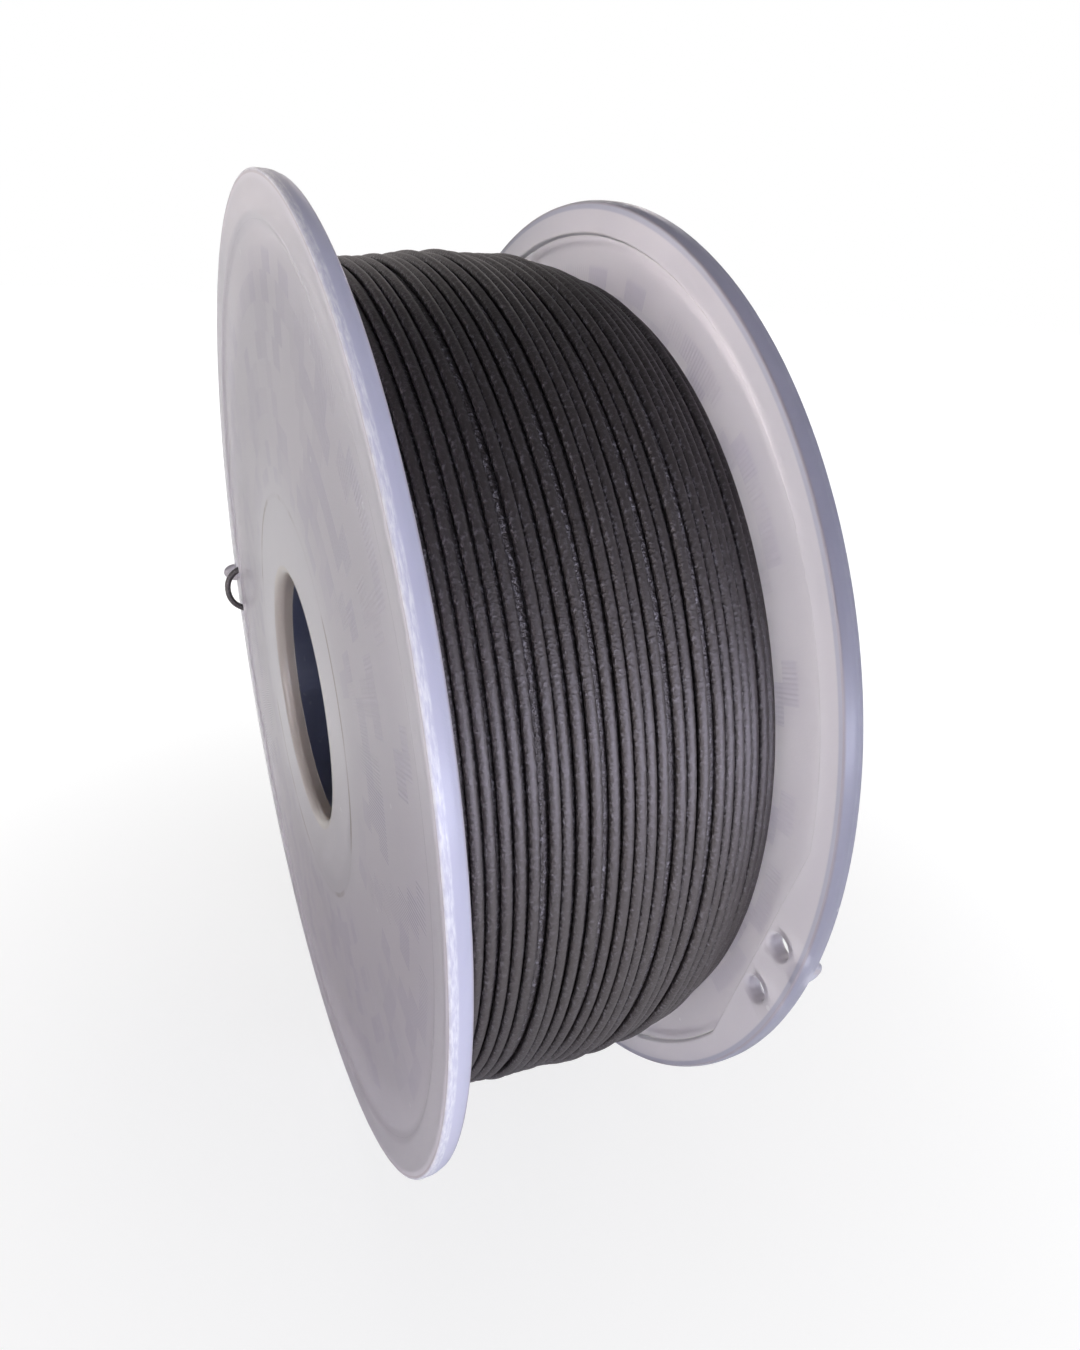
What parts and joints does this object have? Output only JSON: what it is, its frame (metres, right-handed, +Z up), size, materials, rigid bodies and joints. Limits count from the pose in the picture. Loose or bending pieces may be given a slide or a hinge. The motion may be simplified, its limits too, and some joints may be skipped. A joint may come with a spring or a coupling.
{
  "type": "filament spool",
  "caption": "Translucent moulded spool with a ribbed hub and a round spindle bore, wound full with dark 3D printing filament whose loose end is parked in the flange's tie holes.",
  "frame": {"origin": "middle of the spindle bore, on its axis, half-way between the two flanges", "axes": "+X along the spindle axis towards the right-hand flange, +Z up with the spool standing on its rims, -Y towards the user"},
  "size_m": [0.0754, 0.2, 0.2],
  "materials": {
    "spool_plastic": "frosted translucent moulded plastic, lightly scuffed on the rims",
    "filament": "matte dark grey, slightly rough like a fibre-filled strand"
  },
  "bodies": {
    "root": {"flange_left": "spool_plastic", "flange_right": "spool_plastic", "hub_core": "spool_plastic", "filament_winding": "filament", "filament_start_tail": "filament", "filament_loose_end": "filament"}
  },
  "joints": []
}
